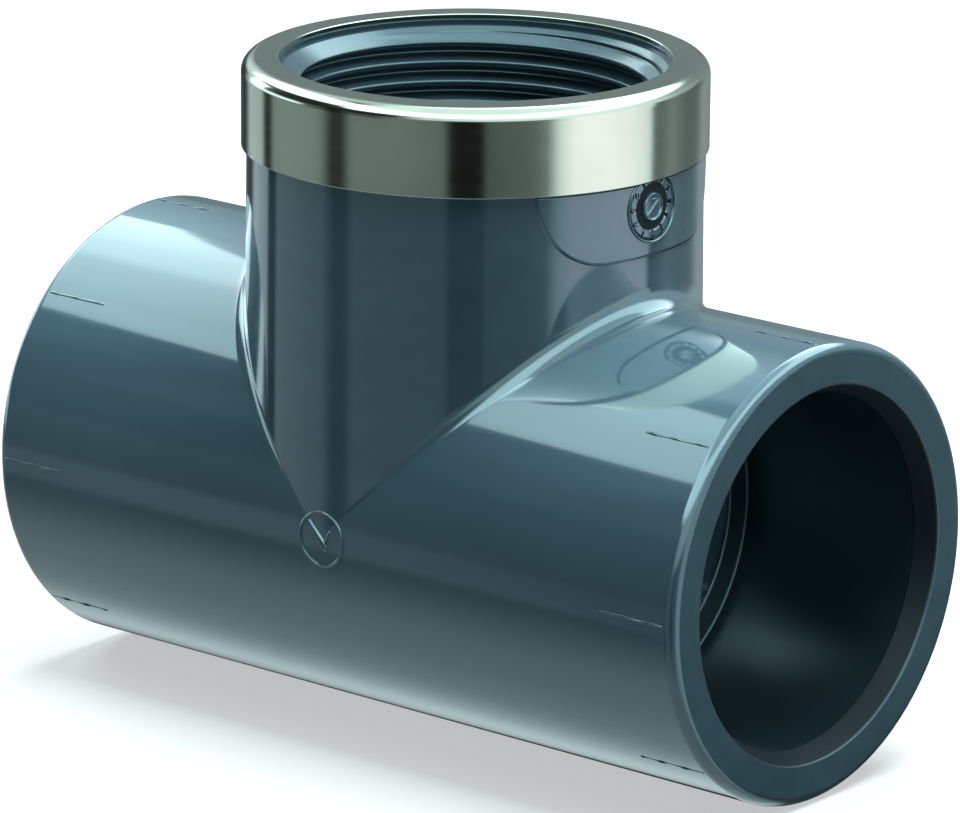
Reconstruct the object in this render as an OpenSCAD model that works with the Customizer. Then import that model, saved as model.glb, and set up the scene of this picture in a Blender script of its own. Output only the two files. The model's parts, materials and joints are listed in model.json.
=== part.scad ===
// Adaptor tee: a straight run with two plain pipe sockets, and a branch with a female pipe thread
// whose end is held by a pressed steel ring. The run lies along X and the branch stands along +Z.
// The origin is where the two axes cross.

/* [Run] */
// Outside diameter of the run
run_od = 52; // [48:0.5:60]
// Length of the run from mouth to mouth
run_length = 100; // [94:1:120]
// Bore of each pipe socket
socket_d = 40.2; // [38:0.1:41]
// Depth of each socket from its mouth to the pipe stop
socket_depth = 26; // [18:0.5:26]
// Diameter of the socket's mouth, where the pipe is led in
mouth_d = 42.7; // [41.5:0.1:45]
// Depth of the cone that leads the pipe in
mouth_depth = 2.4; // [1:0.1:4]
// Bore of the waterway behind the pipe stops
waterway_d = 33.6; // [28:0.2:36]
// Radius of the rounded outer edge at each end of the run
end_round = 1.25; // [0.5:0.05:2]

/* [Branch] */
// Height of the branch's end face above the run's axis
branch_height = 50; // [48:0.5:70]
// How much narrower the branch is at the ring than at its root
branch_draft = 0.6; // [0.3:0.1:2]
// Radius of the blend between the branch and the run
blend_r = 1.8; // [1:0.1:3]
// Major diameter of the pipe thread
thread_d = 41.91; // [38:0.01:42.5]
// Height of the threaded wall above its floor
thread_length = 21; // [15:0.5:22]
// Width of the cone above the thread at its upper edge
thread_mouth_d = 43.2; // [42.6:0.1:43.6]
// Height of the cone above the thread
thread_mouth_depth = 1.9; // [1:0.1:3]
// Depth of the round recess in the branch's end face
recess_depth = 0.7; // [0.3:0.1:1.5]

/* [Reinforcing ring] */
// Thickness of the ring's sheet
ring_t = 0.6; // [0.4:0.1:1]
// Height of the ring over all
ring_height = 10; // [7:0.5:12]
// Outer radius of the bend between the ring's band and its lip
ring_bend_r = 1.6; // [1.2:0.1:2.5]
// Opening in the ring's lip, which is also the width of the recess under it
opening_d = 44; // [43.8:0.1:46]

/* [Alignment marks] */
// Marks round each end of the run
mark_count = 8; // [4, 8, 12]
// Length of a mark
mark_length = 9; // [4:0.5:14]
// Width of a mark
mark_w = 0.5; // [0.3:0.1:1]
// How far a mark stands out of the run
mark_proud = 0.25; // [0.1:0.05:0.5]

/* [Gate rim] */
// Outside diameter of the rim round the moulding gate, at the front of the crossing
gate_d = 6.6; // [4:0.2:10]
// Width of the rim
gate_w = 0.4; // [0.3:0.1:1]
// How far the rim stands out of the run
gate_proud = 0.2; // [0.1:0.05:0.5]

/* [Hidden] */
$fn = 96;

pvc_grey = [0.27, 0.35, 0.40];
steel = [0.62, 0.65, 0.62];

run_r = run_od / 2;
half_run = run_length / 2;
stop_x = half_run - socket_depth;
// A cutting solid runs past the face that it opens by this much
past = 1;
// At its root the branch is a hair narrower than the run, so that the two outsides cross and never
// only touch at the point of the V
root_r = run_r - 0.02;
seat_r = run_r - branch_draft / 2;
seat_z = branch_height + ring_t - ring_height;
// The plastic's own edge is rounder than the inside of the ring's bend, so the two never touch there
seat_round = ring_bend_r - ring_t + 0.3;
thread_top_z = branch_height - recess_depth - thread_mouth_depth;
thread_floor_z = thread_top_z - thread_length;
ring_r = seat_r + ring_t;
mark_sunk = 1;
gate_sunk = 1;

// Stations along the blend on one side of the branch, and facets across it
blend_stations = 40;
blend_facets = 4;
// The blend's two edges are set this far into the walls that it joins
blend_sunk = 0.05;
// Branch angle, from the run's axis, at which the blend has run out
blend_end = 87;

// A half outline with its two outer corners rounded: radius r, from z0 to z1
module rounded_slug(r, z0, z1, round_low, round_high) {
    translate([0, z0]) square([r - max(round_low, round_high), z1 - z0]);
    translate([0, z0 + round_low]) square([r, z1 - z0 - round_low - round_high]);
    translate([r - round_high, z1 - round_high]) circle(round_high);
    if (round_low > 0) translate([r - round_low, z0 + round_low]) circle(round_low);
}

// Outside of the run, with rounded ends
module run_outside() {
    rotate([0, 90, 0]) rotate_extrude()
        rounded_slug(run_r, -half_run, half_run, end_round, end_round);
}

// Outside of the branch: it narrows a little up to the ring's seat
module branch_outside() {
    cylinder(h = seat_z, r1 = root_r, r2 = seat_r);
    rotate_extrude() rounded_slug(seat_r, seat_z, branch_height, 0, seat_round);
}

// How much the branch's radius shrinks for each millimetre of height
taper = (root_r - seat_r) / seat_z;

// Height of the centre of a ball of radius blend_r that touches both outsides at branch angle a.
// It solves z^2 + ((root_r - taper z + blend_r) sin a)^2 = (run_r + blend_r)^2.
function ball_z(a) =
    let (
        s2 = pow(sin(a), 2),
        p = 1 + taper * taper * s2,
        q = -2 * (root_r + blend_r) * taper * s2,
        c = pow(root_r + blend_r, 2) * s2 - pow(run_r + blend_r, 2)
    ) (-q + sqrt(q * q - 4 * p * c)) / (2 * p);

function unit(v) = v / norm(v);

// Direction part of the way t from direction u to direction v along the arc between them
function turn(u, v, t) =
    let (a = acos(min(1, u * v))) (sin((1 - t) * a) * u + sin(t * a) * v) / sin(a);

// Section of the blend at branch angle a: the rolling ball's arc from the branch to the run, closed by
// a corner that lies inside the walls
function blend_section(a) =
    let (
        z = ball_z(a),
        reach = root_r - taper * z + blend_r,
        ball = [reach * cos(a), reach * sin(a), z],
        to_branch = -[cos(a), sin(a), 0],
        to_run = -unit([0, ball[1], ball[2]]),
        middle = turn(to_branch, to_run, 0.5),
        corner = blend_r / (middle * to_branch) + 0.6
    ) concat(
        [ball + (blend_r + blend_sunk) * to_branch],
        [for (i = [1 : blend_facets - 1]) ball + blend_r * turn(to_branch, to_run, i / blend_facets)],
        [ball + (blend_r + blend_sunk) * to_run],
        [ball + corner * middle]
    );

// Blend on the +X side of the branch, swept round it from front to back
module blend_side() {
    side = blend_facets + 2;
    last = blend_stations;
    points = [for (i = [0 : last]) each blend_section(blend_end * (2 * i / last - 1))];
    wall = [for (i = [0 : last - 1]) for (j = [0 : side - 1])
        let (a = i * side + j, b = i * side + (j + 1) % side)
        each [[a, b, b + side], [a, b + side, a + side]]];
    front_cap = [[for (j = [0 : side - 1]) side - 1 - j]];
    back_cap = [[for (j = [0 : side - 1]) last * side + j]];
    polyhedron(points, concat(wall, front_cap, back_cap));
}

// One socket from the mouth at +X: the lead-in cone and the bore down to the pipe stop
module socket() {
    translate([stop_x, 0, 0]) rotate([0, 90, 0]) cylinder(h = socket_depth + past, d = socket_d);
    translate([half_run - mouth_depth, 0, 0]) rotate([0, 90, 0])
        cylinder(h = mouth_depth, d1 = socket_d, d2 = mouth_d);
    translate([half_run, 0, 0]) rotate([0, 90, 0]) cylinder(h = past, d = mouth_d);
}

// The waterway along the run and up the branch, the thread's bore, its cone and the recess above it
module waterway() {
    translate([-stop_x - past, 0, 0]) rotate([0, 90, 0]) cylinder(h = 2 * (stop_x + past), d = waterway_d);
    cylinder(h = thread_floor_z + past, d = waterway_d);
    translate([0, 0, thread_floor_z]) cylinder(h = thread_length, d = thread_d);
    translate([0, 0, thread_top_z]) cylinder(h = thread_mouth_depth, d1 = thread_d, d2 = thread_mouth_d);
    translate([0, 0, branch_height - recess_depth]) cylinder(h = recess_depth + past, d = opening_d);
}

// Raised marks round both ends of the run, which line the tee up with its neighbours
module alignment_marks() {
    for (side = [-1, 1], i = [0 : mark_count - 1]) {
        mark_x = side * (half_run - end_round - mark_length / 2);
        rotate([i * 360 / mark_count, 0, 0])
            translate([mark_x - mark_length / 2, -mark_w / 2, run_r - mark_sunk])
                cube([mark_length, mark_w, mark_sunk + mark_proud]);
    }
}

// Rim round the moulding gate: it follows the run's outside, a little way off it
module gate_rim() {
    intersection() {
        translate([0, -run_r + gate_sunk, 0]) rotate([90, 0, 0]) difference() {
            cylinder(h = gate_sunk + past, d = gate_d);
            cylinder(h = gate_sunk + past, d = gate_d - 2 * gate_w);
        }
        rotate([0, 90, 0]) cylinder(h = gate_d + past, r = run_r + gate_proud, center = true);
    }
}

module tee_body() {
    color(pvc_grey) difference() {
        union() {
            run_outside();
            branch_outside();
            blend_side();
            mirror([1, 0, 0]) blend_side();
            alignment_marks();
            gate_rim();
        }
        socket();
        mirror([1, 0, 0]) socket();
        waterway();
    }
}

// Drawn steel cap: a band round the branch's end and a flat lip over its face
module reinforcing_ring() {
    color(steel) rotate_extrude() difference() {
        rounded_slug(ring_r, seat_z, branch_height + ring_t, 0, ring_bend_r);
        translate([0, -past]) rounded_slug(seat_r, seat_z, branch_height + past, 0, ring_bend_r - ring_t);
        translate([0, seat_z]) square([opening_d / 2, ring_height + past]);
    }
}

tee_body();
reinforcing_ring();
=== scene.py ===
"""Adaptor tee: finish, moulded detail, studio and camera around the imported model.

Lengths are metres in the model's own frame: the run lies along X, the branch stands along +Z and the
origin is where the two axes cross. Profiles and stations are worked out as whole numpy arrays.
"""

import json
import math

import bmesh
import bpy
import numpy as np
from mathutils import Matrix, Vector


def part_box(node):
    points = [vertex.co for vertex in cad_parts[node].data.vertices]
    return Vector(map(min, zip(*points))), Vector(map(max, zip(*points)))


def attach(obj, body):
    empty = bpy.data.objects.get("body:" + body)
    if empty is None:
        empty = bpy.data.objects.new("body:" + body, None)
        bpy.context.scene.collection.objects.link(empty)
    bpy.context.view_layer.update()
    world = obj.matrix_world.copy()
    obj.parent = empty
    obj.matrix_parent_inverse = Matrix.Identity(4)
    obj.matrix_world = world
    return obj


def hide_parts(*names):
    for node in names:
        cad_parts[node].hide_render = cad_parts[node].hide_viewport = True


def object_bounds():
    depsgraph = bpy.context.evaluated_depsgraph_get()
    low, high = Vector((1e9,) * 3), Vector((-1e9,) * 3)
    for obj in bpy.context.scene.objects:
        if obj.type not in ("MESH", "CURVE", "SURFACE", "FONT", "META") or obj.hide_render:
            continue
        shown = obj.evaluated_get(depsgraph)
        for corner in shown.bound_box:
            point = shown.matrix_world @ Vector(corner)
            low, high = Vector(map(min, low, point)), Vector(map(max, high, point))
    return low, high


bl_info = {
    "name": "Adaptor Tee",
    "version": (1, 0, 0),
    "blender": (4, 5, 0),
    "location": "3D View > Sidebar > Tee",
    "description": "Builds a moulded adaptor tee with a steel ring round its threaded branch",
    "category": "Add Mesh",
}

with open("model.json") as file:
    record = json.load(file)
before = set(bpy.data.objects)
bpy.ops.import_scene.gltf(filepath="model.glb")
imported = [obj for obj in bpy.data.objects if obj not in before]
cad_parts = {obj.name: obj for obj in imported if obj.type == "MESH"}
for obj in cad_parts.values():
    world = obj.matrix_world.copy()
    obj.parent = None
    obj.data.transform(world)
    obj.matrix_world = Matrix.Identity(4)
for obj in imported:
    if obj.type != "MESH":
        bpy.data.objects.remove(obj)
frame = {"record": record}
CAD_LOW, CAD_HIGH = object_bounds()
RING_LOW, RING_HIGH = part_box("reinforcing_ring")
MOUNTS = {mount["name"]: mount for mount in frame["record"]["mounts"]}

MM = 0.001
# Points whose coordinates agree to this are one vertex
WELD = 1e-7
# Corners whose normals lie within this angle of their mean are shaded as one smooth surface
SMOOTH = math.radians(6)
# An arc in a profile is drawn in steps of about this angle, and a line in steps of this length or less
ARC_STEP = math.radians(11)
LINE_STEP = 4 * MM
# Raised details on the branch stop this far under the ring
RING_GAP = 0.05 * MM
# The ring's sheet, and the radius of the opening in its lip and of the recess under it, in millimetres
SHEET = 0.6
OPENING = 22.0
DIAL_NUMBERS = 12
# Points along the sides of the grids
HALF_ROUND = 121
RUN_STEPS = 13
WALL_STEPS = 25
BLEND_STEPS = 13
RING_ROUND = 289
MARK_LENGTHWISE = 61
GATE_ROUND = 181
RIB_ACROSS = 13
CREASE_SIDE = 89
X_AXIS = np.array([1.0, 0.0, 0.0])
Z_AXIS = np.array([0.0, 0.0, 1.0])
MIRROR_X = np.array([-1.0, 1.0, 1.0])


# Sizes

def size(name, millimetres, description):
    """A length property whose default is given in millimetres."""
    return bpy.props.FloatProperty(name=name, description=description, default=millimetres * MM,
                                   min=0.0, precision=5, unit="LENGTH")


def share(name, default, description, low=0.0, high=1.0):
    """A plain number between two limits."""
    return bpy.props.FloatProperty(name=name, description=description, default=default,
                                   min=low, max=high)


def turn(name, degrees, description):
    """An angle property whose default is given in degrees."""
    return bpy.props.FloatProperty(name=name, description=description, default=math.radians(degrees),
                                   subtype="ANGLE")


def colour(name, default, description):
    """A colour property, in linear light."""
    return bpy.props.FloatVectorProperty(name=name, description=description, default=default,
                                         size=3, min=0.0, max=1.0, subtype="COLOR")


class TeeRunSizes(bpy.types.PropertyGroup):
    """The straight run and its two pipe sockets"""
    radius: size("Outside radius", 26.0, "Outside radius of the run")
    half_length: size("Half length", CAD_HIGH.x / MM, "From the crossing of the axes to a mouth")
    end_round: size("End rounding", 1.25, "Radius of the outer edge at each end")
    mouth: size("Mouth radius", 21.35, "Radius where the pipe is led in")
    mouth_round: size("Mouth edge", 0.22, "Rounding of the mouth's inner edge")
    lead_in: size("Lead-in depth", 2.4, "Depth of the cone behind the mouth")
    socket: size("Socket radius", MOUNTS["right_socket"]["dims"]["r_mm"], "Radius of a socket")
    stop: size("Pipe stop", 24.0, "From the crossing of the axes to a pipe stop")
    waterway: size("Waterway radius", 16.8, "Radius of the passages behind the stops")
    soft_edge: size("Soft edge", 0.35, "Rounding of the stops and of the lead-in cone")


class TeeBranchSizes(bpy.types.PropertyGroup):
    """The branch, its blend into the run and its thread"""
    root: size("Root radius", 26.0, "Outside radius where the branch meets the run's axis")
    seat: size("Seat radius", 25.7, "Outside radius under the ring")
    seat_low: size("Seat height", RING_LOW.z / MM, "Height of the ring's lower edge")
    top: size("Height", CAD_HIGH.z / MM - SHEET, "Height of the plastic's end face")
    top_round: size("End rounding", 1.3, "Radius of the plastic's edge inside the ring's bend")
    blend: size("Blend radius", 2.6, "Radius of the ball rolled along between branch and run")
    opening: size("Opening radius", OPENING, "Radius of the recess in the end face")
    recess: size("Recess depth", 0.7, "Depth of the recess in the end face")
    cone: size("Cone radius", 21.6, "Radius at the upper edge of the cone that leads into the thread")
    cone_foot: size("Cone foot", 48.0, "Height at which that cone comes down to the thread's crests")
    major: size("Thread radius", MOUNTS["branch_thread"]["dims"]["r_mm"], "Major radius of the thread")
    thread_top: size("Thread top", 47.4, "Height from which the threaded wall is measured down")
    thread_length: size("Thread length", MOUNTS["branch_thread"]["dims"]["length_mm"],
                        "Length of the threaded wall")
    pitch: size("Pitch", 25.4 / 11, "Rise of the thread in one turn")
    start: turn("Thread start", -48.6, "Turn of the thread about the branch")


class TeeRingSizes(bpy.types.PropertyGroup):
    """The pressed steel ring"""
    radius: size("Outside radius", RING_HIGH.x / MM, "Outside radius of the band")
    low: size("Lower edge", RING_LOW.z / MM, "Height of the band's lower edge")
    high: size("Lip height", RING_HIGH.z / MM, "Height of the lip's upper face")
    sheet: size("Sheet", SHEET, "Thickness of the sheet")
    bend: size("Bend radius", 1.6, "Outer radius between band and lip")
    opening: size("Opening radius", OPENING, "Radius of the opening in the lip")
    edge: size("Edge rounding", 0.13, "Rounding of the sheet's cut edges")


class TeeDetailSizes(bpy.types.PropertyGroup):
    """Raised marks and plates on the moulding"""
    mark_count: bpy.props.IntProperty(name="Marks", description="Marks round each end of the run",
                                      default=8, min=1)
    mark_length: size("Mark length", 9.0, "Length of an alignment mark")
    mark_width: size("Mark width", 0.5, "Width of an alignment mark")
    mark_proud: size("Mark height", 0.25, "How far a mark stands out of the run")
    gate_radius: size("Gate radius", 3.3, "Outside radius of the rim round the gate")
    gate_width: size("Gate rim", 0.4, "Width of that rim")
    gate_proud: size("Gate height", 0.2, "How far that rim stands out")
    pad_half_width: size("Pad half width", 15.7, "Half the pad's width, along the wall")
    pad_low: size("Pad lower edge", 32.05, "Height of the pad's lower edge")
    pad_corner: size("Pad corner", 8.55, "Radius of the pad's lower corners")
    pad_proud: size("Pad height", 0.28, "How far the pad stands out of the branch")
    dial_radius: size("Dial radius", 4.1, "Outside radius of the date dial")
    dial_across: size("Dial place", -0.3, "Place of the dial's centre along the wall")
    dial_height: size("Dial height", 37.66, "Height of the dial's centre")


class TeeFinish(bpy.types.PropertyGroup):
    """Colours and gloss"""
    plastic: colour("Plastic", (0.060, 0.113, 0.145), "Colour of the moulded plastic")
    plastic_gloss: share("Plastic roughness", 0.1, "Roughness of the moulded skin")
    steel: colour("Steel", (0.455, 0.485, 0.40), "Colour of the rolled steel")
    steel_gloss: share("Steel roughness", 0.12, "Roughness of the rolled steel")


class TeeStudio(bpy.types.PropertyGroup):
    """The camera's place and lens"""
    azimuth: turn("Azimuth", 40.135, "Camera's azimuth, from looking along +Y towards -X")
    elevation: turn("Elevation", 15.736, "Camera's height above the horizon")
    roll: turn("Roll", 0.449, "Camera's turn about its own axis")
    distance: size("Distance", 776.0, "Camera's distance from the crossing of the axes")
    aim_right: size("Aim right", 0.836, "Place of the picture's centre, right of that crossing")
    aim_up: size("Aim up", 9.505, "Place of the picture's centre, above that crossing")
    lens: share("Focal length", 255.55, "Focal length in millimetres", 10, 1000)


# Surfaces

def unit(vectors):
    """Vectors divided by their lengths; a vector of no length stays as it is."""
    length = np.linalg.norm(vectors, axis=-1, keepdims=True)
    return vectors / np.where(length > 1e-12, length, 1.0)


def outline(points, rounds, step=LINE_STEP, closed=False):
    """Stretches of a profile drawn through points, each corner rounded by an arc that touches both of its
    lines. A row holds (along, out, normal along, normal out); the outside is on the path's left."""
    points = np.array(points, float)
    rounds = np.array(rounds, float)
    ahead = unit(np.roll(points, -1, 0) - points)
    behind = np.roll(ahead, 1, 0)
    bend = np.arctan2(behind[:, 0] * ahead[:, 1] - behind[:, 1] * ahead[:, 0], (behind * ahead).sum(1))
    if not closed:
        bend[[0, -1]] = 0.0
    reach = rounds * np.tan(np.abs(bend) / 2)
    enter = points - behind * reach[:, None]
    leave = points + ahead * reach[:, None]
    stretches = []
    last = len(points) if closed else len(points) - 1
    for k in range(last):
        start, end = leave[k], enter[(k + 1) % len(points)]
        gap = np.linalg.norm(end - start)
        if gap > WELD:
            along = np.linspace(0, 1, max(1, math.ceil(gap / step)) + 1)[:, None]
            normal = np.broadcast_to([-ahead[k, 1], ahead[k, 0]], (len(along), 2))
            stretches.append(np.hstack([start + (end - start) * along, normal]))
        corner = (k + 1) % len(points)
        if reach[corner] > 0:
            count = max(3, math.ceil(abs(bend[corner]) / ARC_STEP))
            angle = np.linspace(0, bend[corner], count + 1)[:, None]
            left = np.array([-behind[corner, 1], behind[corner, 0]])
            side = math.copysign(rounds[corner], bend[corner])
            centre = enter[corner] + left * side
            normal = left * np.cos(angle) - behind[corner] * np.sin(angle)
            stretches.append(np.hstack([centre - side * normal, normal]))
    return stretches


def round_x(angle):
    """Directions across the run, by the angle from +Z towards +Y."""
    return np.stack([np.zeros_like(angle), np.sin(angle), np.cos(angle)], -1)


def round_z(angle):
    """Directions across the branch, by the angle from +X towards +Y."""
    return np.stack([np.cos(angle), np.sin(angle), np.zeros_like(angle)], -1)


def turned(axis, across, rows, stations, last_stations=None):
    """A profile's stretch carried round an axis: along times the axis plus out times the direction at
    each station. Where last_stations is given, the stations shift evenly towards them, row by row."""
    shift = np.linspace(0, 1, len(rows))[:, None]
    end = stations if last_stations is None else last_stations
    radial = across(stations * (1 - shift) + end * shift)
    points = rows[:, 0, None, None] * axis + rows[:, 1, None, None] * radial
    normals = rows[:, 2, None, None] * axis + rows[:, 3, None, None] * radial
    return points, normals


def skin(points, normals):
    """A patch whose normals may be given for fewer rows or columns than it has."""
    return points, np.broadcast_to(normals, points.shape)


def mirrored(patch):
    """The same patch on the other side of the plane x = 0."""
    return patch[0] * MIRROR_X, patch[1] * MIRROR_X


def grid_normals(points, towards):
    """Unit normals of a grid of points, as cross products of its two slopes, on the side of towards."""
    normals = unit(np.cross(np.gradient(points, axis=0), np.gradient(points, axis=1)))
    side = np.sign((normals * towards).sum(-1, keepdims=True))
    flat = np.linalg.norm(normals, axis=-1, keepdims=True) < 0.5
    return np.where(flat, unit(towards), normals * side)


def weld(name, patches):
    """One closed mesh from patches of grid points and normals. Points that agree to WELD become one
    vertex, a quad that has shrunk to a line is left out, each face is turned to its own normals, and
    corners that meet within SMOOTH of their mean normal share it."""
    faces, base = [], 0
    for points, _ in patches:
        rows, columns = points.shape[:2]
        k = np.arange(rows * columns).reshape(rows, columns) + base
        faces.append(np.stack([k[:-1, :-1], k[1:, :-1], k[1:, 1:], k[:-1, 1:]], -1).reshape(-1, 4))
        base += rows * columns
    faces = np.concatenate(faces)
    points = np.concatenate([p.reshape(-1, 3) for p, _ in patches])
    normals = np.concatenate([n.reshape(-1, 3) for _, n in patches])
    corner = points[faces]
    facing = np.cross(corner[:, 2] - corner[:, 0], corner[:, 3] - corner[:, 1])
    backward = (facing * normals[faces].sum(1)).sum(1) < 0
    faces[backward] = faces[backward, ::-1]
    keys = np.round(points / WELD).astype(np.int64)
    _, first, number = np.unique(keys, axis=0, return_index=True, return_inverse=True)
    vertex = number.reshape(-1)[faces]
    keep = vertex != np.roll(vertex, 1, axis=1)
    pinched = (vertex[:, 0] == vertex[:, 2]) | (vertex[:, 1] == vertex[:, 3])
    keep[(keep.sum(1) < 3) | (pinched & (keep.sum(1) == 4))] = False
    counts = keep.sum(1)
    loop_vertex = vertex[keep]
    loop_normal = unit(normals[faces][keep])
    mean = np.zeros((len(first), 3))
    np.add.at(mean, loop_vertex, loop_normal)
    shared = unit(mean)[loop_vertex]
    agree = (shared * loop_normal).sum(1) > math.cos(SMOOTH)
    loop_normal = np.where(agree[:, None], shared, loop_normal)
    counts = counts[counts > 0]
    mesh = bpy.data.meshes.new(name)
    mesh.vertices.add(len(first))
    mesh.vertices.foreach_set("co", points[first].ravel())
    mesh.loops.add(len(loop_vertex))
    mesh.loops.foreach_set("vertex_index", loop_vertex.astype(np.int32))
    mesh.polygons.add(len(counts))
    mesh.polygons.foreach_set("loop_start", (np.cumsum(counts) - counts).astype(np.int32))
    mesh.update(calc_edges=True)
    if mesh.validate():
        raise RuntimeError(f"{name}: the mesh has faces that Blender refuses")
    mesh.shade_smooth()
    mesh.normals_split_custom_set(loop_normal.tolist())
    return mesh


def piece(name, mesh, finish, replaced=None):
    """Puts a finished mesh in the scene, on the model's one body."""
    thing = bpy.data.objects.new(name, mesh)
    bpy.context.scene.collection.objects.link(thing)
    mesh.materials.append(finish)
    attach(thing, "root")
    if replaced:
        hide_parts(replaced)


# Moulded body

class TeeShape:
    """Stations and curves that the body and its raised details share."""

    def __init__(self, scene):
        self.run = scene.tee_run
        self.branch = scene.tee_branch
        self.taper = (self.branch.root - self.branch.seat) / self.branch.seat_low
        # Branch stations on the +X side, from front to back, and all the way round
        self.side = np.radians(np.linspace(-90, 90, HALF_ROUND))
        self.around = np.concatenate([self.side, np.pi + self.side[1:]])
        # Run stations below the crossing, for the waterway
        self.below = np.radians(np.linspace(90, 270, HALF_ROUND))
        # Steps along the run from the blend to an end
        self.steps = np.linspace(0, 1, RUN_STEPS)

    def wall(self, height):
        """Outside radius of the branch at a height: a cone up to the seat, straight above it."""
        return self.branch.root - self.taper * np.minimum(height, self.branch.seat_low)

    def ball(self, angle):
        """Centre of a ball of the blend's radius that touches both outsides at a branch angle. Its
        height solves z^2 + ((root - taper z + blend) sin a)^2 = (run radius + blend)^2."""
        blend = self.branch.blend
        sine = np.sin(angle) ** 2
        reach = self.branch.root + blend
        p = 1 + self.taper ** 2 * sine
        q = -2 * reach * self.taper * sine
        c = reach ** 2 * sine - (self.run.radius + blend) ** 2
        z = (-q + np.sqrt(q * q - 4 * p * c)) / (2 * p)
        out = reach - self.taper * z
        return np.stack([out * np.cos(angle), out * np.sin(angle), z], -1)


def mixed(first, second, t):
    """Values part of the way t from the first to the second."""
    return first * (1 - t) + second * t


def between(start, end, t):
    """Directions part of the way t along the arc from one unit direction to another."""
    angle = np.arccos(np.clip((start * end).sum(-1, keepdims=True), -1, 1))
    return (np.sin((1 - t) * angle) * start + np.sin(t * angle) * end) / np.sin(angle)


def blend_patch(shape):
    """The rolling ball's track on the +X side: at each station the arc from branch to run."""
    ball = shape.ball(shape.side)
    to_branch = -round_z(shape.side)
    to_run = -unit(ball * [0, 1, 1])
    t = np.linspace(0, 1, BLEND_STEPS)[:, None, None]
    direction = between(to_branch[None], to_run[None], t)
    return ball + shape.branch.blend * direction, -direction


def outside_patches(shape):
    """Outsides of the +X half: branch wall above the blend, blend, and run from the blend to the end."""
    run, branch = shape.run, shape.branch
    ball = shape.ball(shape.side)
    height = mixed(ball[:, 2], branch.seat_low, np.linspace(0, 1, WALL_STEPS)[:, None])
    radial = round_z(shape.side)
    wall = shape.wall(height)[..., None] * radial + height[..., None] * Z_AXIS
    contact = ball * run.radius / (run.radius + branch.blend)
    along = mixed(ball[:, 0], run.half_length - run.end_round, shape.steps[:, None])
    across = contact * [0, 1, 1]
    top = along[..., None] * X_AXIS + across
    return [skin(wall, unit(radial + shape.taper * Z_AXIS)), blend_patch(shape), skin(top, unit(across))]


def run_stations(shape):
    """Angles round the run: above the crossing they follow the blend, below it they are even. The first
    list is for the outside, the second for the waterway, where both tubes have one radius."""
    ball = shape.ball(shape.side)
    above = np.arctan2(ball[:, 1], ball[:, 2])
    edge = above[-1]
    below = np.linspace(edge, 2 * np.pi - edge, len(shape.below))
    outer = np.concatenate([above, below[1:]])
    inner = np.concatenate([shape.side, shape.below[1:]])
    return outer, inner, below


def run_end_patches(shape):
    """End rounding, face, lead-in, socket and pipe stop of the +X half. The stations change over from
    the outside's to the waterway's across the flat stop."""
    run = shape.run
    outer, inner, _ = run_stations(shape)
    path = [(run.half_length - run.end_round, run.radius), (run.half_length, run.radius),
            (run.half_length, run.mouth), (run.half_length - run.lead_in, run.socket),
            (run.stop, run.socket), (run.stop, run.waterway), (run.stop - run.soft_edge, run.waterway)]
    rounds = [0, run.end_round, run.mouth_round, run.soft_edge, run.soft_edge, run.soft_edge, 0]
    patches, stations = [], outer
    for rows in outline(path, rounds):
        on_stop = abs(rows[:, 0] - run.stop).max() < WELD
        next_stations = inner if on_stop else stations
        patches.append(turned(X_AXIS, round_x, rows, stations, next_stations))
        stations = next_stations
    return patches


def waterway_patches(shape):
    """Waterway of the +X half above the axis, from the crossing of two equal tubes, where x is the
    tube's radius times the cosine of the station, and the branch's waterway above that crossing."""
    run, branch = shape.run, shape.branch
    bore = run.waterway
    edge = bore * np.cos(shape.side)
    steps = shape.steps[:, None]
    along = mixed(edge, run.stop - run.soft_edge, steps)
    across = round_x(shape.side)
    tube = along[..., None] * X_AXIS + bore * across
    floor = branch.thread_top - branch.thread_length
    height = mixed(edge, floor - run.soft_edge, steps)
    radial = round_z(shape.side)
    riser = height[..., None] * Z_AXIS + bore * radial
    return [skin(tube, -across), skin(riser, -radial)]


def run_bottom_patches(shape):
    """Outside and waterway of the run below the crossing, in one length from end to end."""
    run = shape.run
    _, _, below = run_stations(shape)
    end = run.half_length - run.end_round
    inside = run.stop - run.soft_edge
    both = np.concatenate([-shape.steps[:0:-1], shape.steps])[:, None, None]
    outward, away = round_x(below), round_x(shape.below)
    return [skin(both * end * X_AXIS + run.radius * outward, outward),
            skin(both * inside * X_AXIS + run.waterway * away, -away)]


def thread_rows(pitch, major):
    """Phase and radius of the rows in one turn of a female Whitworth form: flanks at 27.5 degrees,
    crest and root both arcs of 0.1373 pitch, and a depth of 0.6403 pitch."""
    half_angle = math.radians(27.5)
    round_r = 0.137329 * pitch
    minor = major - 0.640327 * pitch
    reach = round_r * math.cos(half_angle)
    swing = np.linspace(-1, 1, 7) * (math.pi / 2 - half_angle)
    offset = round_r * np.sin(swing)
    rise = round_r * (1 - np.cos(swing))
    flank = np.array([1 / 3, 2 / 3])
    gap = pitch / 2 - 2 * reach
    low, high = minor + rise[-1], major - rise[-1]
    place = np.concatenate([offset, reach + gap * flank, pitch / 2 + offset,
                            pitch / 2 + reach + gap * flank])
    radius = np.concatenate([minor + rise, low + (high - low) * flank, major - rise,
                             high - (high - low) * flank])
    return place, radius


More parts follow.
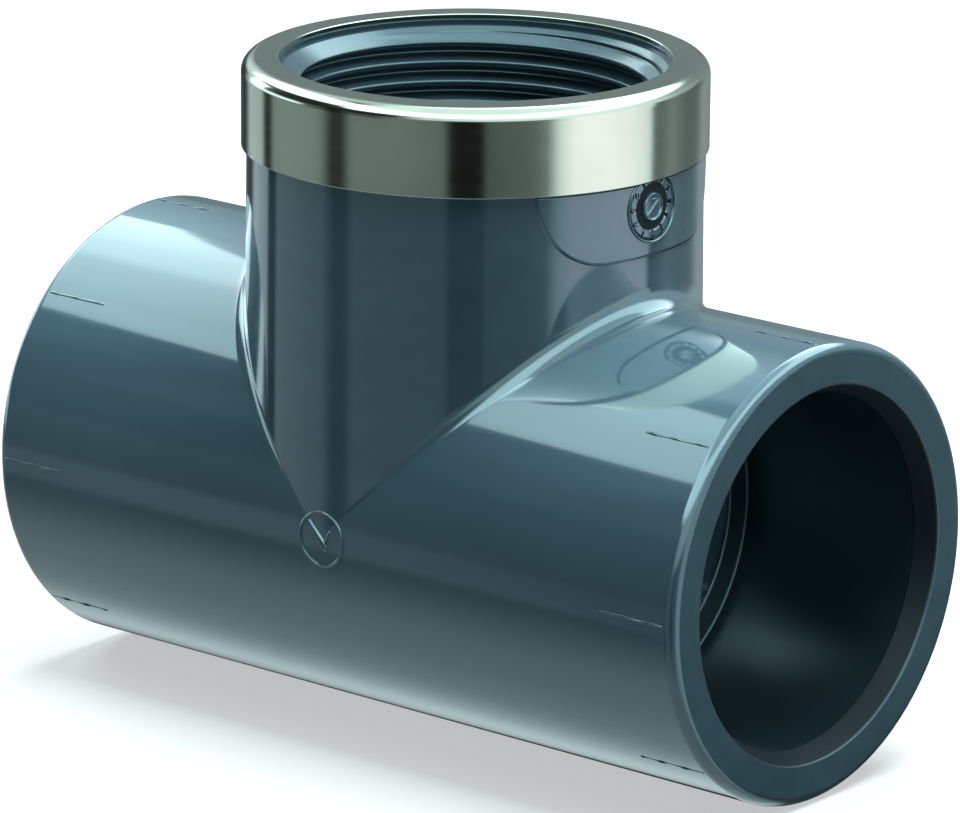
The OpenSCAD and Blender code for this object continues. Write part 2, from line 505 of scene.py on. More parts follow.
def thread_patch(shape):
    """The right-hand thread as a grid whose rows climb with the helix, so each crest lies along a row.
    Rows stop at the floor and at the recess. A cone cuts the first ridges down from the recess, and at
    the floor a steep one takes the last ridge back to the major radius."""
    branch, spare, run_out_slope = shape.branch, 2, 4
    place, radius = thread_rows(branch.pitch, branch.major)
    bottom = branch.thread_top - branch.thread_length
    top = branch.top - branch.recess
    turns = np.arange(-spare, math.ceil((top - bottom) / branch.pitch) + spare)
    lift = (turns[:, None] * branch.pitch + place).ravel() + bottom
    height = lift[:, None] + branch.pitch * (shape.around + branch.start) / (2 * np.pi)
    depth = np.tile(radius, len(turns))[:, None]
    clipped = np.clip(height, bottom, top)
    minor = radius.min()
    lead_in = minor + (clipped - branch.cone_foot) * (branch.cone - minor) / (top - branch.cone_foot)
    run_out = branch.major - (clipped - bottom) * run_out_slope
    out = np.maximum(depth, np.maximum(lead_in, run_out))
    radial = round_z(shape.around)
    points = out[..., None] * radial + clipped[..., None] * Z_AXIS
    return points, grid_normals(points, -radial)


def branch_end_patches(shape):
    """Seat, end face and recess above the thread, and the thread's floor, all the way round."""
    branch, run = shape.branch, shape.run
    floor = branch.thread_top - branch.thread_length
    recess_round = 0.1 * MM
    above = [(branch.seat_low, branch.seat), (branch.top, branch.seat), (branch.top, branch.opening),
             (branch.top - branch.recess, branch.opening), (branch.top - branch.recess, branch.cone)]
    under = [(floor, branch.major), (floor, run.waterway), (floor - run.soft_edge, run.waterway)]
    rows = outline(above, [0, branch.top_round, recess_round, 0, 0])
    rows += outline(under, [0, run.soft_edge, 0])
    return [turned(Z_AXIS, round_z, stretch, shape.around) for stretch in rows]


def body_mesh(shape):
    """The whole moulding as one closed skin."""
    half = outside_patches(shape) + run_end_patches(shape) + waterway_patches(shape)
    whole = half + [mirrored(patch) for patch in half]
    whole += run_bottom_patches(shape) + branch_end_patches(shape) + [thread_patch(shape)]
    return weld("tee_body_skin", whole)


def ring_mesh(ring):
    """The pressed sheet: its closed section carried round the branch."""
    inside = ring.radius - ring.sheet
    under = ring.high - ring.sheet
    path = [(ring.low, ring.radius), (ring.high, ring.radius), (ring.high, ring.opening),
            (under, ring.opening), (under, inside), (ring.low, inside)]
    rounds = [ring.edge, ring.bend, ring.edge, ring.edge, ring.bend - ring.sheet, ring.edge]
    around = np.linspace(0, 2 * np.pi, RING_ROUND)
    return weld("reinforcing_ring_skin",
                [turned(Z_AXIS, round_z, rows, around)
                 for rows in outline(path, rounds, LINE_STEP / 2, True)])


# Raised details

def relief(place, height, outward, loop=False):
    """A raised detail as two patches: place(height) gives its grid at heights above a wall, with its rim
    below that wall, and a deeper floor that shares the rim closes it from below. In a loop the first and
    last rows are one and the same."""
    top = place(height)
    under = np.full_like(height, 2 * height.min())
    under[:, [0, -1]] = height[:, [0, -1]]
    if not loop:
        under[[0, -1], :] = height[[0, -1], :]
    return [(top, grid_normals(top, outward)), skin(place(under), -outward)]


def rimmed(height, depth):
    """Heights with their outer rows and columns put at -depth, and nothing else deeper than that."""
    height = np.maximum(height, -depth)
    height[[0, -1], :] = -depth
    height[:, [0, -1]] = -depth
    return height


def shoulder(inside, width, proud):
    """Height of a flat top with a rounded edge: a quarter sine over the width inside the edge, and the
    same slope going down outside it."""
    slope = proud * math.pi / (2 * width)
    rise = proud * np.sin(np.clip(inside / width, 0, 1) * math.pi / 2)
    return np.where(inside > 0, rise, inside * slope)


def bead(distance, half_width, height):
    """Height of a rounded rib: a half circle's section, drawn to its height, by distance from its line."""
    return height * np.sqrt(np.clip(1 - (distance / half_width) ** 2, 0, 1))


def mark_patches(run, detail):
    """Alignment marks at both ends of the run: the section is a low half ellipse, whose height wavers
    along the mark and rises to a few specks."""
    u = np.linspace(0, 1, MARK_LENGTHWISE)[:, None]
    v = np.linspace(-1, 1, RIB_ACROSS)[None, :]
    sunk, depth = 0.02 * MM, 0.2 * MM
    inner_taper, outer_taper = 0.05, 0.03
    ends = np.clip(np.minimum(u / inner_taper, (1 - u) / outer_taper), 0, 1)
    section = bead(v, 1, 1) * np.sqrt(ends)
    patches = []
    for side in (-1, 1):
        for k in range(detail.mark_count):
            phase = 2.4 * k + 1.1 * side
            waver = 0.82 + 0.1 * np.sin(9 * u + phase) + 0.08 * np.sin(23 * u + 2 * phase)
            specks = 0.34 + 0.5 * np.sin(9 * u + 3 * phase) ** 6
            height = rimmed(detail.mark_proud * waver * specks * section - sunk, depth)
            wide = detail.mark_width / 2 * (0.66 + 0.08 * np.sin(14 * u + phase))
            angle = 2 * math.pi * k / detail.mark_count + v * wide / run.radius
            along = side * (run.half_length - run.end_round - detail.mark_length * (1 - u))
            outward = round_x(angle)

            def place(above, along=along, outward=outward):
                return along[..., None] * X_AXIS + (run.radius + above)[..., None] * outward

            patches += relief(place, height, outward)
    return patches


def on_front(shape, x, z, deep, height, loop=False):
    """A raised detail at the front of the crossing, from a grid of places and their depths."""
    outward = np.stack([0 * x, -np.sqrt(shape.run.radius ** 2 - z * z), z], -1) / shape.run.radius
    return relief(lambda above: np.stack([x, -(deep + above), z], -1), height, outward, loop)


def gate_patches(shape, detail):
    """Thin rim round the moulding gate at the front of the crossing: a bead on a circle, set on the
    farther out of run and branch, whose depths at (x, z) are the square roots of R^2 - z^2 and of
    wall(z)^2 - x^2."""
    angle = np.linspace(0, 2 * np.pi, GATE_ROUND)[:, None]
    v = np.linspace(-1, 1, RIB_ACROSS)[None, :]
    depth = 0.2 * MM
    middle = detail.gate_radius - detail.gate_width / 2
    reach = middle + v * detail.gate_width / 2
    x, z = reach * np.cos(angle), reach * np.sin(angle)
    run_deep = np.sqrt(shape.run.radius ** 2 - z * z)
    branch_deep = np.sqrt(np.maximum(shape.wall(z) ** 2 - x * x, 0)) * (z > 0)
    deep = np.maximum(run_deep, branch_deep)
    height = bead(v, 1, detail.gate_proud) + 0 * angle
    height = np.where(np.abs(v) == 1, -depth, height)
    return on_front(shape, x, z, deep, height, True)


def crease_patches(shape, detail):
    """The short V in the gate: two tapered ribs that meet below its middle, on the run's outside."""
    reach = detail.gate_radius * 0.8
    line = np.linspace(-reach, reach, CREASE_SIDE)
    x, z = np.broadcast_arrays(line[:, None], line[None, :])
    # Both ribs run from a top end to one foot, and a top end comes with its rib's height
    foot = (0.5 * MM, -0.85 * MM)
    ribs = (((-1.75 * MM, 1.95 * MM), 0.3 * MM), ((1.15 * MM, 1.0 * MM), 0.14 * MM))
    thin, widening = 0.16 * MM, 0.36 * MM
    sunk, depth = 0.03 * MM, 0.15 * MM
    height = np.zeros(x.shape)
    for top, rise in ribs:
        low = 1 - np.hypot(x - foot[0], z - foot[1]) / math.dist(top, foot)
        thick = thin + widening * np.clip(low, 0, 1)
        height = np.maximum(height, bead(from_line(x, z, top, foot), thick, rise))
    return on_front(shape, x, z, np.sqrt(shape.run.radius ** 2 - z * z), rimmed(height - sunk, depth))


def on_wall(shape, across, height, proud):
    """Points of the branch's wall at arc lengths across, from +X, and heights, standing proud of it."""
    angle = across / shape.branch.seat
    out = shape.wall(height) + proud
    return out[..., None] * round_z(angle) + height[..., None] * Z_AXIS


def wall_grid(shape, half_width, low, middle, spacing):
    """A grid of arc lengths and heights on the branch's wall, up to just under the ring."""
    high = shape.branch.seat_low - RING_GAP
    across = np.linspace(-half_width, half_width, round(2 * half_width / spacing) + 1) + middle
    height = np.linspace(low, high, round((high - low) / spacing) + 1)
    return np.broadcast_arrays(across[:, None], height[None, :])


def on_branch(shape, s, z, height):
    """A raised detail on the branch's wall, from a grid of arc lengths and heights."""
    return relief(lambda above: on_wall(shape, s, z, above), height, round_z(s / shape.branch.seat))


def pad_patches(shape, detail):
    """Raised plate under the ring, its lower corners round: height by signed distance from its outline.
    The dial's place in it is left open."""
    edge, dial_edge, spacing, depth = 0.3 * MM, 0.15 * MM, 0.12 * MM, 0.15 * MM
    opening = detail.dial_radius - 0.2 * MM
    s, z = wall_grid(shape, detail.pad_half_width + edge, detail.pad_low - edge, 0, spacing)
    corner = detail.pad_corner
    side = np.abs(s) - detail.pad_half_width + corner
    under = detail.pad_low + corner - z
    beyond = np.hypot(np.maximum(side, 0), np.maximum(under, 0)) + np.minimum(np.maximum(side, under), 0)
    height = shoulder(corner - beyond, edge, detail.pad_proud)
    from_dial = np.hypot(s - detail.dial_across, z - detail.dial_height) - opening
    height = np.minimum(height, shoulder(from_dial, dial_edge, detail.pad_proud))
    return on_branch(shape, s, z, rimmed(height, depth))


def from_line(x, y, start, end):
    """Distance of points from the line between two ends."""
    dx, dy = end[0] - start[0], end[1] - start[1]
    t = np.clip(((x - start[0]) * dx + (y - start[1]) * dy) / (dx * dx + dy * dy), 0, 1)
    return np.hypot(x - start[0] - t * dx, y - start[1] - t * dy)


def dial_patches(shape, detail):
    """Date dial: outer rim, a ring of twelve raised cells, a groove, and a disc with a rim and an arrow.
    Heights are the greatest of theirs and the floor's at each point."""
    radius, margin, spacing, depth = detail.dial_radius, 0.1 * MM, 0.06 * MM, 0.05 * MM
    s, z = wall_grid(shape, radius + margin, detail.dial_height - radius - margin, detail.dial_across,
                     spacing)
    x, y = s - detail.dial_across, z - detail.dial_height
    r, a = np.hypot(x, y), np.arctan2(y, x)
    # Radii of the cells' two ends, the rim's middle and the disc, and half the gap between two cells
    cell_low, cell_high, rim, disc = (part * radius for part in (0.64, 0.88, 0.955, 0.36))
    half_gap, edge, floor = 0.1 * MM, 0.12 * MM, 0.01 * MM
    cell = 2 * math.pi / DIAL_NUMBERS
    gap = np.abs((a + cell / 2) % cell - cell / 2) * r
    inside = np.minimum(np.minimum(r - cell_low, cell_high - r), gap - half_gap)
    tip, tail, barbs = (0.22, 0.17), (-0.22, -0.2), ((0.02, 0.2), (0.2, -0.02))
    strokes = [from_line(x / radius, y / radius, *ends) * radius
               for ends in ((tail, tip), (tip, barbs[0]), (tip, barbs[1]))]
    height = np.maximum.reduce([np.full_like(r, floor), shoulder(inside, edge, 0.24 * MM),
                                bead(r - rim, 0.19 * MM, 0.46 * MM), shoulder(disc - r, edge, 0.2 * MM),
                                bead(r - disc, 0.14 * MM, 0.4 * MM),
                                *(bead(stroke, 0.13 * MM, 0.36 * MM) for stroke in strokes)])
    height = np.where(r > radius, margin - (r - radius), height)
    return on_branch(shape, s, z, rimmed(height, depth))


def number_mesh(shape, detail):
    """The numbers 1 to 12 in the dial's cells: flat letters turned into a mesh, then laid on the wall."""
    curve = bpy.data.curves.new("number", "FONT")
    curve.align_x = "CENTER"
    curve.align_y = "CENTER"
    curve.resolution_u = 3
    curve.size = 1.15 * MM
    curve.extrude = 0.12 * MM
    text = bpy.data.objects.new("number", curve)
    bpy.context.scene.collection.objects.link(text)
    circle, lift = 0.79 * detail.dial_radius, 0.22 * MM
    work = bmesh.new()
    for k in range(DIAL_NUMBERS):
        curve.body = str(k + 1)
        bpy.context.view_layer.update()
        flat = bpy.data.meshes.new_from_object(text)
        at = np.empty(len(flat.vertices) * 3)
        flat.vertices.foreach_get("co", at)
        x, y, z = at.reshape(-1, 3).T
        clock = math.pi / 2 - 2 * math.pi * (k + 1) / DIAL_NUMBERS
        across = detail.dial_across + circle * math.cos(clock) + x
        height = detail.dial_height + circle * math.sin(clock) + y
        if height.max() < shape.branch.seat_low - RING_GAP:
            flat.vertices.foreach_set("co", on_wall(shape, across, height, lift + z).ravel())
            work.from_mesh(flat)
        bpy.data.meshes.remove(flat)
    bpy.data.objects.remove(text)
    bpy.data.curves.remove(curve)
    bmesh.ops.remove_doubles(work, verts=work.verts, dist=WELD)
    bmesh.ops.recalc_face_normals(work, faces=work.faces)
    mesh = bpy.data.meshes.new("dial_numbers")
    work.to_mesh(mesh)
    work.free()
    mesh.shade_flat()
    return mesh


# Materials

# The plastic's colour is multiplied by these: in its clouds, and as painted shade in the sockets, in the
# throat and in the rougher dark parts
DARK_CLOUD, LIGHT_CLOUD = 0.89, 1.11
SOCKET_PAINTED_SHADE, THROAT_PAINTED_SHADE, DULL_PAINTED_SHADE = 0.15, 0.6, 0.1
# What clouds, sockets and throat add to its roughness
CLOUD_ROUGH, SOCKET_ROUGH, THROAT_ROUGH = 0.08, 0.27, 0.12
PLASTIC_SHEEN = (0.62, 0.95, 1.0, 1.0)


class Value:
    """A node's output, with the arithmetic that the materials use. Each sum adds its Math node."""

    def __init__(self, nodes, socket):
        self.nodes = nodes
        self.socket = socket

    def other(self, key):
        """Another output of the same node, by name or number."""
        return Value(self.nodes, self.socket.node.outputs[key])

    def math(self, operation, *others):
        """This value and others through one Math node."""
        return self.nodes.add("ShaderNodeMath", {"operation": operation}, dict(enumerate((self, *others))))

    def __add__(self, other):
        return self.math("ADD", other)

    def __sub__(self, other):
        return self.math("SUBTRACT", other)

    def __rsub__(self, other):
        return self.nodes.add("ShaderNodeMath", {"operation": "SUBTRACT"}, {0: other, 1: self})

    def __mul__(self, other):
        return self.math("MULTIPLY", other)

    def above(self, low, high):
        """0 below low and 1 above high, with a smooth step between."""
        return self.nodes.add("ShaderNodeMapRange", {"interpolation_type": "SMOOTHSTEP"},
                              {"Value": self, "From Min": low, "From Max": high})

    def band(self, rise, fall):
        """1 between two smooth steps and 0 outside them."""
        return self.above(*rise) - self.above(*fall)

    def over(self, mask, level):
        """This value where the mask is 0, and level where it is 1."""
        return self * (1.0 - mask) + mask * level


class Nodes:
    """A node tree, emptied. Every node in it comes from add()."""

    def __init__(self, tree):
        self.tree = tree
        tree.nodes.clear()

    def add(self, kind, settings=None, sockets=None, out=0):
        """A node of a kind: first its settings, a ramp's stops among them, then the values or links of
        its sockets. Gives one of its outputs, if it has any."""
        node = self.tree.nodes.new(kind)
        for key, value in (settings or {}).items():
            if key == "stops":
                ramp = node.color_ramp.elements
                while len(ramp) < len(value):
                    ramp.new(0.5)
                for element, (place, shade) in zip(ramp, value):
                    element.position = place
                    element.color = shade
            else:
                setattr(node, key, value)
        for key, value in (sockets or {}).items():
            if isinstance(value, Value):
                self.tree.links.new(value.socket, node.inputs[key])
            else:
                node.inputs[key].default_value = value
        return Value(self, node.outputs[out]) if node.outputs else None

    def place(self, kind="Object"):
        """Coordinates of a kind."""
        return self.add("ShaderNodeTexCoord", out=kind)

    def parts(self, vector):
        """The three parts of a vector."""
        x = self.add("ShaderNodeSeparateXYZ", None, {0: vector})
        return x, x.other(1), x.other(2)

    def length(self, parts):
        """Length of a vector, from those of its parts that are given by number."""
        vector = self.add("ShaderNodeCombineXYZ", None, parts)
        return self.add("ShaderNodeVectorMath", {"operation": "LENGTH"}, {0: vector}, "Value")

    def noise(self, place, scale, detail=2.0, stretch=None):
        """Noise from 0 to 1 on a place, its cells drawn out by stretch."""
        if stretch:
            place = self.add("ShaderNodeVectorMath", {"operation": "MULTIPLY"}, {0: place, 1: stretch})
        return self.add("ShaderNodeTexNoise", None, {"Vector": place, "Scale": scale, "Detail": detail})

    def mix(self, factor, first, second):
        """Two colours mixed by a factor."""
        return self.add("ShaderNodeMix", {"data_type": "RGBA"}, {0: factor, 6: first, 7: second}, 2)

    def mix_shaders(self, factor, first, second):
        """Two shaders mixed by a factor."""
        return self.add("ShaderNodeMixShader", None, {0: factor, 1: first, 2: second})

    def bump(self, strength, distance, height):
        """The surface's normal, tilted by a height."""
        return self.add("ShaderNodeBump", None,
                        {"Strength": strength, "Distance": distance, "Height": height})

    def surface(self, shader, kind="Material"):
        """The output of a material or a world."""
        self.add(f"ShaderNodeOutput{kind}", None, {"Surface": shader})


def rgba(shade, factor):
    """A colour property as four numbers, made lighter or darker by a factor."""
    return (*(channel * factor for channel in shade), 1.0)


def grey(level):
    """A grey as four numbers."""
    return level, level, level, 1.0


def material(name):
    """An empty material and its tree."""
    made = bpy.data.materials.new(name)
    made.use_nodes = True
    return made, Nodes(made.node_tree)


def plastic_material(name, scene, grooves=False):
    """Glossy moulded grey plastic: faint flow clouds in the colour, fine streaks along the run, a skin
    whose gloss varies a little, and duller bores whose darker colour is painted shade. In the dial's
    grooves painted shade makes it darker still."""
    finish, run, branch = scene.tee_finish, scene.tee_run, scene.tee_branch
    made, nodes = material(name)
    place = nodes.place()
    fade = 0.2 * MM
    clouds = nodes.noise(place, 60.0, 3.0, (0.6, 1.0, 1.0))
    streaks = nodes.noise(place, 420.0, 4.0, (0.07, 1.0, 1.0))
    tone = clouds.above(0.35, 0.65) * 0.5 + streaks.above(0.3, 0.7) * 0.5
    x, y, z = nodes.parts(place)
    along = x.math("ABSOLUTE")
    from_run = nodes.length({1: y, 2: z})
    from_branch = nodes.length({0: x, 1: y})
    # Where the surface is a socket, the threaded throat or the run's end face
    bore = from_run.above(run.mouth + fade, run.mouth) * along.above(run.stop - 1 * MM, run.stop)
    throat = from_branch.above(branch.opening + fade, branch.opening) * z.above(20 * MM, 24 * MM)
    cut = along.above(run.half_length - 0.3 * MM, run.half_length - 0.1 * MM)
    base = nodes.mix(tone, rgba(finish.plastic, DARK_CLOUD), rgba(finish.plastic, LIGHT_CLOUD))
    # Painted shade: the sockets and the throat are darkened where shade falls in them
    base = nodes.mix(bore, base, rgba(finish.plastic, SOCKET_PAINTED_SHADE))
    base = nodes.mix(throat, base, rgba(finish.plastic, THROAT_PAINTED_SHADE))
    rough = tone * CLOUD_ROUGH + (finish.plastic_gloss - CLOUD_ROUGH / 2)
    rough = rough + bore * SOCKET_ROUGH + throat * THROAT_ROUGH
    bump = nodes.bump(0.06, 0.4 * MM, nodes.noise(place, 45.0, 1.0))
    gloss = nodes.add("ShaderNodeBsdfPrincipled", None,
                      {"Base Color": base, "Roughness": rough, "IOR": 1.65, "Normal": bump,
                       "Specular Tint": PLASTIC_SHEEN, "Coat Roughness": 0.05,
                       "Coat Weight": (1.0 - bore) * (1.0 - throat * 0.7) * (1.0 - cut),
                       "Coat IOR": 1.45})
    # A rough shader whose dark colour is painted shade, for recesses
    dull_and_painted_shade = nodes.add("ShaderNodeBsdfPrincipled", None,
                     {"Base Color": rgba(finish.plastic, DULL_PAINTED_SHADE), "Roughness": 0.5,
                      "Specular IOR Level": 0.15})
    # Parts given a rough shader whose dark colour is painted shade: the cone that leads a pipe in, a
    # little of the throat, and the dial's grooves
    lead_in = run.half_length - run.lead_in
    matt_and_painted_shade = bore * along.above(lead_in - 0.3 * MM, lead_in) * (1.0 - cut)
    matt_and_painted_shade = matt_and_painted_shade.math("MAXIMUM", throat * 0.15)
    # The dial's grooves get painted shade, chosen by their low height above the wall
    if grooves:
        low = from_branch.above(branch.seat + 0.16 * MM, branch.seat + 0.05 * MM)
        matt_and_painted_shade = matt_and_painted_shade.math("MAXIMUM", low)
    nodes.surface(nodes.mix_shaders(matt_and_painted_shade, gloss, dull_and_painted_shade))
    return made


def steel_material(finish):
    """Bright rolled steel: faint drawing lines round the band, soft clouds and a slight waviness."""
    made, nodes = material("rolled_steel")
    place = nodes.place()
    lines = nodes.noise(place, 900.0, 2.0, (0.05, 0.05, 1.0))
    clouds = nodes.noise(place, 90.0, 3.0)
    base = nodes.mix(clouds.above(0.3, 0.7), rgba(finish.steel, 0.93), rgba(finish.steel, 1.05))
    rough = lines * 0.08 + clouds * 0.05 + (finish.steel_gloss - 0.06)
    bump = nodes.bump(0.15, 0.3 * MM, nodes.noise(place, 60.0, 1.0) + lines * 0.02)
    steel = nodes.add("ShaderNodeBsdfPrincipled", None,
                      {"Base Color": base, "Metallic": 1.0, "Roughness": rough, "Normal": bump})
    nodes.surface(steel)
    return made


# Stage

# What polished surfaces see round the horizon: azimuth in degrees and brightness
ROOM_LOW = ((-178.5, 0.8), (-176, 0.01), (-170, 0.01), (-167, 0.45), (-150, 0.46), (-132, 0.42),
            (-125, 0.05), (-118, 0.05), (-113, 0.37), (-78, 0.31), (-65, 0.28), (-62, 0.02),
            (-46, 0.02), (-44, 0.18), (-22, 0.24), (-14, 0.38), (-8, 1.5), (0, 2.0), (15, 2.0),
            (33, 1.9), (45, 1.6), (48, 0.2), (55, 0.3), (62, 0.42), (76, 0.24), (88, 0.24),
            (99, 0.5), (130, 0.2), (150, 0.06), (158, 0.06), (165, 0.8), (180, 0.8))
# The same higher up
ROOM_HIGH = ((-180, 0.24), (-165, 0.1), (-90, 0.07), (-75, 1.4), (-30, 1.8), (40, 1.8), (70, 0.9),
             (100, 0.45), (132, 0.34), (145, 1.2), (168, 1.2), (174, 0.24), (180, 0.24))
ROOM_TINT = (0.76, 0.95, 1.0, 1.0)
# The brightest panels round the horizon are nearer to white
PANEL_TINT = (0.88, 0.9, 1.0, 1.0)
# A ramp holds no more than 1, so it is given brightness as parts of this
RAMP_FULL = 4.0
# The even light that diffuse rays get
DIFFUSE_LIGHT = 0.12


def by_azimuth(nodes, azimuth, levels):
    """Brightness by azimuth in degrees, between the given levels."""
    stops = [((angle + 180) / 360, grey(level / RAMP_FULL)) for angle, level in levels]
    turns = azimuth * (1 / 360) + 0.5
    return nodes.add("ShaderNodeValToRGB", {"stops": stops}, {"Fac": turns}) * RAMP_FULL


def studio_world(scene):
    """White to the camera, even light for diffuse rays, and for glossy rays a room of light and dark
    panels by direction, as a studio shows in polished metal."""
    world = bpy.data.worlds.new("studio")
    scene.world = world
    world.use_nodes = True
    nodes = Nodes(world.node_tree)
    x, y, z = nodes.parts(nodes.place("Generated"))
    azimuth = y.math("ARCTAN2", x) * (180 / math.pi)
    high = z.above(0.05, 0.2)
    low = by_azimuth(nodes, azimuth, ROOM_LOW) * (1.0 - high)
    room = low + by_azimuth(nodes, azimuth, ROOM_HIGH) * high
    # Ahead and to the left the panels are low, and the room is dark above and below them
    beside = azimuth.band((-170, -160), (-100, -90))
    panel = z.band((-0.4, -0.33), (-0.22, -0.15))
    room = room * (1.0 - beside * (1.0 - panel) * 0.55)
    # A large bright lid hangs overhead and to the front, out of the run's own reflections
    lid = z.above(0.44, 0.56) * x.above(-0.5, -0.4)
    lid_level = 5.2 - z.above(0.8, 0.88) * 3.3
    room = room.over(lid, lid_level)
    # A long low one stands to the left, at the height of the horizon
    near = y.above(0.24, 0.16)
    left = z.band((-0.16, -0.06), (0.03, 0.09)) * x.above(-0.76, -0.84) * near
    left_level = 2.2
    room = room.over(left, left_level)
    # Its upper part is set further back, where only the blend beside the branch sees it
    back = z.band((0.0, 0.06), (0.3, 0.36)) * x.above(-0.74, -0.82) * y.above(-0.12, -0.04) * near
    back_level = 3.4
    room = room.over(back, back_level)
    # Below lies the floor, brighter towards the back, with the object's own shadow at its far side
    floor = z.above(-0.36, -0.7)
    floor_level = y.above(0.0, 0.55) * 0.38 + 0.66
    shadow = y.above(0.61, 0.68) * z.above(-0.25, -0.35)
    room = room.over(floor, floor_level) * (1.0 - shadow * 0.95)
    camera = nodes.add("ShaderNodeLightPath", out="Is Camera Ray")
    shiny = camera.other("Is Glossy Ray")
    strength = camera + (1.0 - camera) * (shiny * room + (1.0 - shiny) * DIFFUSE_LIGHT)
    tint = nodes.mix(camera, nodes.mix(low.above(1.2, 2.0), ROOM_TINT, PANEL_TINT), grey(1.0))
    nodes.surface(nodes.add("ShaderNodeBackground", None, {"Color": tint, "Strength": strength}), "World")


def floor_material():
    """Pale floor: half white of its own to the camera, so that the object's shadow on it is soft, and
    it throws little light back on the object. Polished surfaces see the room past it."""
    made, nodes = material("pale_floor")
    camera = nodes.add("ShaderNodeLightPath", out="Is Camera Ray")
    shade = nodes.mix(camera.other("Is Diffuse Ray"), grey(0.92), grey(0.2))
    diffuse = nodes.add("ShaderNodeBsdfDiffuse", None, {"Color": shade})
    white = nodes.add("ShaderNodeEmission", None, {"Color": grey(1.0), "Strength": 1.0})
    pale = nodes.mix_shaders(camera * 0.5, diffuse, white)
    clear = nodes.add("ShaderNodeBsdfTransparent")
    nodes.surface(nodes.mix_shaders(camera.other("Is Glossy Ray"), pale, clear))
    return made


def softbox(name, centre, across, along, width, length, radiance, tint, mirrored_in_gloss):
    """A rectangular area light of one brightness. Its width runs along one direction and its length along
    another, it shines along across x along, and its power is pi times area times radiance."""
    lamp = bpy.data.lights.new(name, "AREA")
    lamp.shape = "RECTANGLE"
    lamp.size = width
    lamp.size_y = length
    lamp.energy = math.pi * width * length * radiance
    lamp.color = tint
    thing = bpy.data.objects.new(name, lamp)
    bpy.context.scene.collection.objects.link(thing)
    across = Vector(across).normalized()
    along = Vector(along).normalized()
    away = along.cross(across).normalized()
    rows = Matrix((across, away.cross(across), away)).transposed().to_4x4()
    thing.matrix_world = Matrix.Translation(centre) @ rows
    thing.visible_camera = False
    thing.visible_glossy = mirrored_in_gloss


def studio_lights():
    """A key that polished surfaces mirror, and two fills that they don't."""
    # The key hangs up and to the left of the crossing, turned about its own axis
    away = Vector((-0.62, 0.0, 0.785)).normalized()
    down_left = Vector((-0.785, 0.0, -0.62)).normalized()
    behind = Vector((0.0, 1.0, 0.0))
    softbox("key_softbox", centre=away * 0.5 + down_left * 0.045 + behind * -0.057,
            across=down_left * 0.87 - behind * 0.5, along=down_left * 0.5 + behind * 0.87,
            width=0.216, length=0.64, radiance=3.1, tint=(0.8, 0.97, 1.0), mirrored_in_gloss=True)
    softbox("top_softbox", centre=(0.05, 0.12, 0.55), across=(0, 1, 0), along=(1, 0, 0),
            width=0.55, length=0.5, radiance=9.0, tint=(0.9, 0.98, 1.0), mirrored_in_gloss=False)
    softbox("side_softbox", centre=(0.62, 0.25, 0.36), across=(-0.37, 0.93, 0),
            along=(0.42, 0.17, -0.89), width=0.3, length=0.3, radiance=2.5, tint=(0.85, 0.97, 1.0),
            mirrored_in_gloss=False)


def studio_floor():
    """A square floor under the CAD's lowest point, far wider than the picture."""
    extent, level = 3.0, CAD_LOW.z
    corners = [(x * extent, y * extent, level) for x, y in ((-1, -1), (1, -1), (1, 1), (-1, 1))]
    mesh = bpy.data.meshes.new("floor")
    mesh.from_pydata(corners, [], [(0, 1, 2, 3)])
    mesh.materials.append(floor_material())
    floor = bpy.data.objects.new("floor", mesh)
    bpy.context.scene.collection.objects.link(floor)


def camera_frame(studio):
    """The camera's right, up and back directions and its place."""
    azimuth, elevation, roll = studio.azimuth, studio.elevation, studio.roll
    back = Vector((math.sin(azimuth) * math.cos(elevation), -math.cos(azimuth) * math.cos(elevation),
                   math.sin(elevation)))
    level = Vector((math.cos(azimuth), math.sin(azimuth), 0))
    upright = back.cross(level)
    right = level * math.cos(roll) + upright * math.sin(roll)
    up = upright * math.cos(roll) - level * math.sin(roll)
    return right, up, back, back * studio.distance + right * studio.aim_right + up * studio.aim_up


def studio_camera(scene):
    """The camera, from the studio's angles and distances."""
    right, up, back, place = camera_frame(scene.tee_studio)
    camera = bpy.data.cameras.new("camera")
    camera.sensor_width = 36.0
    camera.lens = scene.tee_studio.lens
    camera.clip_end = 20.0
    thing = bpy.data.objects.new("camera", camera)
    scene.collection.objects.link(thing)
    facing = Matrix((right, up, back)).transposed().to_4x4()
    thing.matrix_world = Matrix.Translation(place) @ facing
    scene.camera = thing


# Operators

class BODY_OT_tee(bpy.types.Operator):
    """Build the moulded body: run, branch, blend, sockets and thread"""
    bl_idname = "tee.body"
    bl_label = "Moulded body"

    def execute(self, context):
        scene = context.scene
        plastic = plastic_material("moulded_plastic", scene)
        piece("moulded_body", body_mesh(TeeShape(scene)), plastic, "tee_body")
        return {"FINISHED"}


class RING_OT_tee(bpy.types.Operator):
    """Build the pressed steel ring"""
    bl_idname = "tee.ring"
    bl_label = "Reinforcing ring"

    def execute(self, context):
        steel = steel_material(context.scene.tee_finish)
        piece("pressed_ring", ring_mesh(context.scene.tee_ring), steel,
              "reinforcing_ring")
        return {"FINISHED"}


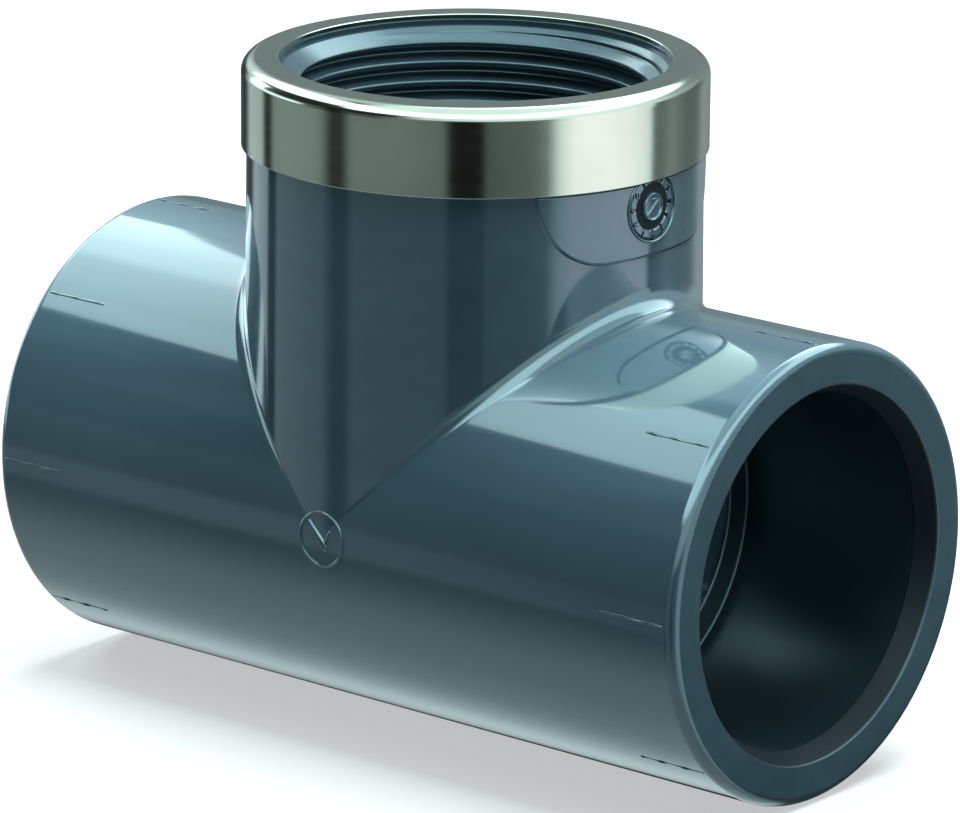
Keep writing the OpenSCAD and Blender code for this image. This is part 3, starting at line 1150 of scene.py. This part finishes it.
class DETAIL_OT_tee(bpy.types.Operator):
    """Build the raised details: alignment marks, gate rim, plate and date dial"""
    bl_idname = "tee.detail"
    bl_label = "Raised details"

    def execute(self, context):
        scene = context.scene
        shape, detail = TeeShape(scene), scene.tee_detail
        plastic = bpy.data.materials["moulded_plastic"]
        for name, patches in (("alignment_marks", mark_patches(scene.tee_run, detail)),
                              ("gate_rim", gate_patches(shape, detail)),
                              ("gate_crease", crease_patches(shape, detail)),
                              ("label_pad", pad_patches(shape, detail))):
            piece(name, weld(name, patches), plastic)
        grooved = plastic_material("grooved_plastic", scene, grooves=True)
        piece("date_dial", weld("date_dial", dial_patches(shape, detail)), grooved)
        piece("dial_numbers", number_mesh(shape, detail), grooved)
        return {"FINISHED"}


class STAGE_OT_tee(bpy.types.Operator):
    """Set the floor, the light and the camera"""
    bl_idname = "tee.stage"
    bl_label = "Studio"

    def execute(self, context):
        scene = context.scene
        scene.view_settings.view_transform = "Standard"
        studio_world(scene)
        studio_floor()
        studio_lights()
        studio_camera(scene)
        return {"FINISHED"}


class VIEW3D_PT_tee(bpy.types.Panel):
    """Lists the tee's operators"""
    bl_label = "Adaptor tee"
    bl_idname = "VIEW3D_PT_tee"
    bl_space_type = "VIEW_3D"
    bl_region_type = "UI"
    bl_category = "Tee"

    def draw(self, context):
        for operator in (BODY_OT_tee, RING_OT_tee, DETAIL_OT_tee, STAGE_OT_tee):
            self.layout.operator(operator.bl_idname)


GROUPS = {"tee_run": TeeRunSizes, "tee_branch": TeeBranchSizes, "tee_ring": TeeRingSizes,
          "tee_detail": TeeDetailSizes, "tee_finish": TeeFinish, "tee_studio": TeeStudio}
CLASSES = (*GROUPS.values(), BODY_OT_tee, RING_OT_tee, DETAIL_OT_tee, STAGE_OT_tee,
           VIEW3D_PT_tee)


def register():
    """Registers every class and puts the settings on the scene."""
    for kind in CLASSES:
        bpy.utils.register_class(kind)
    for name, kind in GROUPS.items():
        setattr(bpy.types.Scene, name, bpy.props.PointerProperty(type=kind))


def unregister():
    """Takes it all back."""
    for name in GROUPS:
        delattr(bpy.types.Scene, name)
    for kind in reversed(CLASSES):
        bpy.utils.unregister_class(kind)


def main():
    """Builds everything in order."""
    register()
    bpy.ops.tee.stage()
    bpy.ops.tee.body()
    bpy.ops.tee.ring()
    bpy.ops.tee.detail()


if __name__ == "__main__":
    main()
